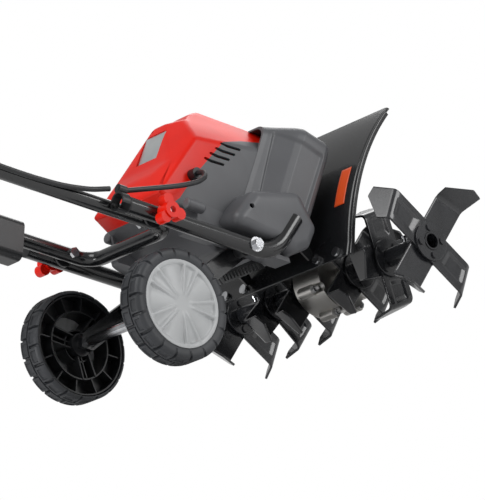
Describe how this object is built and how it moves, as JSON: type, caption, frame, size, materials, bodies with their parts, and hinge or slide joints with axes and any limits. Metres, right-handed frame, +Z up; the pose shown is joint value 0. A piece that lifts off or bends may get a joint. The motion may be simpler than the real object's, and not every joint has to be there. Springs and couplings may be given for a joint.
{
  "type": "garden tiller",
  "caption": "Electric garden tiller with star tines under a curved guard, sloped motor housing, worm gear case, transport wheels and a folding tube handle.",
  "frame": {"origin": "middle of the foot of the whole machine, on the ground", "axes": "+X forward towards the tines, +Y to the left of the machine, +Z up"},
  "size_m": [1.0975, 0.4124, 0.778],
  "materials": {
    "black_tube": "gloss black powder coat",
    "tine_paint": "gloss dark grey paint on steel sheet",
    "red_plastic": "moulded, semi-gloss",
    "grey_plastic": "moulded, fine texture",
    "black_plastic": "moulded",
    "light_grey_plastic": "moulded",
    "tyre": "moulded tread",
    "cast_aluminium": "die cast",
    "zinc_steel": "bright zinc plate",
    "machined_steel": "turned and ground",
    "bronze": "turned",
    "cable_rubber": "extruded sheath",
    "foam": "closed-cell foam",
    "silver_plate": "printed satin plate"
  },
  "bodies": {
    "chassis": {"brush_gear": "bronze", "cable_gland_and_clip": "black_plastic", "chassis_frame": "black_tube", "drive_bearings": "machined_steel", "frame_bolts": "zinc_steel", "frame_tubes": "black_tube", "front_cover": "grey_plastic", "gear_case_bolts": "zinc_steel", "gear_case_left": "cast_aluminium", "gear_case_right": "cast_aluminium", "guard": "black_plastic", "guard_bolts": "zinc_steel", "intake_grille": "black_plastic", "motor_cable_lower": "cable_rubber", "motor_frame": "cast_aluminium", "motor_housing": "grey_plastic", "motor_stator": "machined_steel", "rear_window": "silver_plate", "shaft_bushes_and_seals": "bronze", "spacers": "black_plastic", "top_cover": "red_plastic", "tube_end_caps": "black_plastic"},
    "tines": {"tine_shaft": "machined_steel", "tine_stars_inner": "tine_paint", "tine_stars_middle": "tine_paint", "tine_stars_outer": "tine_paint", "tine_hubs": "tine_paint", "tine_rivets": "tine_paint", "hub_pins_and_clips": "zinc_steel", "worm_wheel": "bronze"},
    "worm": {"worm_shaft": "machined_steel", "spur_gear": "machined_steel"},
    "rotor": {"motor_shaft": "machined_steel", "pinion": "machined_steel", "armature": "machined_steel", "cooling_fan": "black_plastic"},
    "wheel_carrier": {"wheel_bracket": "black_tube", "axle_and_clips": "zinc_steel"},
    "wheel_left": {"wheel_rim_left": "black_plastic", "tyre_left": "tyre", "hubcap_left": "light_grey_plastic"},
    "wheel_right": {"wheel_rim_right": "black_plastic", "tyre_right": "tyre", "hubcap_right": "light_grey_plastic"},
    "lower_handle": {"lower_handle_bow": "black_tube", "joint_bolts": "zinc_steel", "inlet_housing": "black_plastic", "inlet_pins": "zinc_steel", "motor_cable_middle": "cable_rubber"},
    "upper_handle": {"upper_handle_tube": "black_tube", "foam_grips": "foam", "switch_box": "black_plastic", "switch_module": "black_plastic", "motor_cable_upper": "cable_rubber"},
    "bail": {"bail_lever": "black_tube"},
    "button": {"lock_button": "red_plastic"},
    "lower_knob_left": {"lower_knob_left": "red_plastic"},
    "lower_knob_right": {"lower_knob_right": "red_plastic"},
    "upper_knob_left": {"upper_knob_left": "red_plastic"},
    "upper_knob_right": {"upper_knob_right": "red_plastic"}
  },
  "joints": [
    {"name": "tine_spin", "type": "hinge", "parent": "chassis", "child": "tines", "pos_m": [0.46677, 0, 0.08199], "axis": [0, 1, 0], "continuous": true},
    {"name": "worm_spin", "type": "hinge", "parent": "chassis", "child": "worm", "pos_m": [0.37377, 0, 0.20399], "axis": [0.766, 0, -0.6428], "continuous": true},
    {"name": "motor_spin", "type": "hinge", "parent": "chassis", "child": "rotor", "pos_m": [0.3487, 0, 0.17411], "axis": [0.766, 0, -0.6428], "continuous": true},
    {"name": "wheel_bracket_swing", "type": "hinge", "parent": "chassis", "child": "wheel_carrier", "pos_m": [0.26177, 0, 0.12829], "axis": [0, 1, 0], "range_deg": [-25, 6]},
    {"name": "wheel_spin_left", "type": "hinge", "parent": "wheel_carrier", "child": "wheel_left", "pos_m": [0.12077, 0, 0.07699], "axis": [0, 1, 0], "continuous": true},
    {"name": "wheel_spin_right", "type": "hinge", "parent": "wheel_carrier", "child": "wheel_right", "pos_m": [0.12077, 0, 0.07699], "axis": [0, 1, 0], "continuous": true},
    {"name": "lower_handle_fold", "type": "hinge", "parent": "chassis", "child": "lower_handle", "pos_m": [0.13677, 0, 0.18399], "axis": [0, 1, 0], "range_deg": [0, 60]},
    {"name": "upper_handle_fold", "type": "hinge", "parent": "lower_handle", "child": "upper_handle", "pos_m": [-0.22865, 0, 0.34668], "axis": [0, 1, 0], "range_deg": [0, 95]},
    {"name": "bail_squeeze", "type": "hinge", "parent": "upper_handle", "child": "bail", "pos_m": [-0.48661, 0, 0.73247], "axis": [0, 1, 0], "range_deg": [-38, 0], "stiffness_Nm_per_rad": 0.4, "springref_deg": 14.32},
    {"name": "lock_button_press", "type": "slide", "parent": "upper_handle", "child": "button", "axis": [0.5736, 0, -0.8192], "range_m": [0, 0.004], "stiffness_N_per_m": 400, "springref_m": -0.002},
    {"name": "lower_knob_turn_left", "type": "hinge", "parent": "chassis", "child": "lower_knob_left", "pos_m": [0.13677, 0.115, 0.18399], "axis": [0, 1, 0], "range_deg": [0, 180]},
    {"name": "lower_knob_turn_right", "type": "hinge", "parent": "chassis", "child": "lower_knob_right", "pos_m": [0.13677, -0.115, 0.18399], "axis": [0, 1, 0], "range_deg": [0, 180]},
    {"name": "upper_knob_turn_left", "type": "hinge", "parent": "lower_handle", "child": "upper_knob_left", "pos_m": [-0.22865, 0.115, 0.34668], "axis": [0, 1, 0], "range_deg": [0, 180]},
    {"name": "upper_knob_turn_right", "type": "hinge", "parent": "lower_handle", "child": "upper_knob_right", "pos_m": [-0.22865, -0.115, 0.34668], "axis": [0, 1, 0], "range_deg": [0, 180]}
  ],
  "couplings": [
    {"joint": "worm_spin", "follows": "tine_spin", "ratio": -15},
    {"joint": "motor_spin", "follows": "tine_spin", "ratio": 50}
  ]
}
